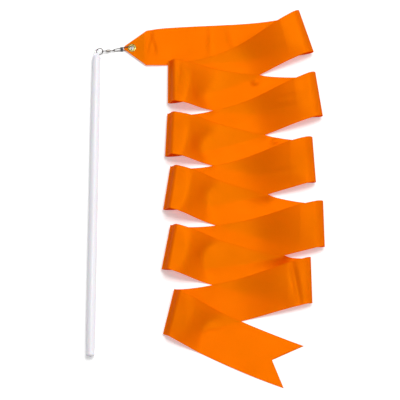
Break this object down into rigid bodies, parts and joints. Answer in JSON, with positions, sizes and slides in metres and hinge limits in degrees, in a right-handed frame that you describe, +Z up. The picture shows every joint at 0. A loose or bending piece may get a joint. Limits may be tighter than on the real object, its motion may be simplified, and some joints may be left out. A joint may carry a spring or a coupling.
{
  "type": "rhythmic ribbon wand",
  "caption": "Gymnastics ribbon on a slim moulded stick, joined by a jump ring, a barrel swivel and a wire snap; the satin ribbon is laid out in soft zigzag folds with a swallowtail end.",
  "frame": {"origin": "on the ground, under the middle of the whole outline", "axes": "+Y along the stick towards the ribbon's swivel, +Z up from the ground"},
  "size_m": [0.2558, 0.4251, 0.0205],
  "materials": {
    "white_plastic": "moulded white plastic, satin gloss",
    "nickel_wire": "nickel-plated wire",
    "nickel_barrel": "nickel-plated turned brass, slightly dulled",
    "nickel_plate": "stamped and plated",
    "eyelet_brass": "pressed brass",
    "orange_satin": "fine satin weave, soft sheen"
  },
  "bodies": {
    "stick": {"stick": "white_plastic"},
    "ring": {"jump_ring": "nickel_wire"},
    "front_eye": {"swivel_front_eye": "nickel_wire"},
    "barrel": {"swivel_barrel": "nickel_barrel"},
    "rear_eye": {"swivel_rear_eye": "nickel_wire"},
    "snap": {"snap_wire": "nickel_wire", "snap_clasp": "nickel_plate"},
    "gate": {"snap_gate": "nickel_wire"},
    "ribbon": {"ribbon": "orange_satin", "eyelet": "eyelet_brass", "eyelet_washer": "eyelet_brass"}
  },
  "joints": [
    {"name": "ring_swing", "type": "hinge", "parent": "stick", "child": "ring", "pos_m": [-0.12287, 0.16589, 0.005], "axis": [0, 0, 1], "range_deg": [-4, 140]},
    {"name": "swivel_swing", "type": "hinge", "parent": "ring", "child": "front_eye", "pos_m": [-0.11602, 0.16685, 0.00397], "axis": [0.0046, 0.7147, 0.6994], "range_deg": [-3, 45]},
    {"name": "barrel_spin", "type": "hinge", "parent": "front_eye", "child": "barrel", "pos_m": [-0.10994, 0.16771, 0.00306], "axis": [0.9795, 0.1377, -0.1471], "continuous": true},
    {"name": "rear_eye_spin", "type": "hinge", "parent": "barrel", "child": "rear_eye", "pos_m": [-0.10994, 0.16771, 0.00306], "axis": [0.9795, 0.1377, -0.1471], "continuous": true},
    {"name": "snap_swing", "type": "hinge", "parent": "rear_eye", "child": "snap", "pos_m": [-0.10387, 0.16856, 0.00215], "axis": [0.0046, 0.7147, 0.6994], "range_deg": [-3, 45]},
    {"name": "gate_open", "type": "hinge", "parent": "snap", "child": "gate", "pos_m": [-0.09451, 0.17113, 0.00339], "axis": [0.0984, -0.7002, 0.7071], "range_deg": [0, 25], "stiffness_Nm_per_rad": 0.02, "springref_deg": -5.73},
    {"name": "ribbon_swing", "type": "hinge", "parent": "snap", "child": "ribbon", "pos_m": [-0.08357, 0.17141, 0.00215], "axis": [0, 0, 1], "range_deg": [-2, 30]}
  ]
}
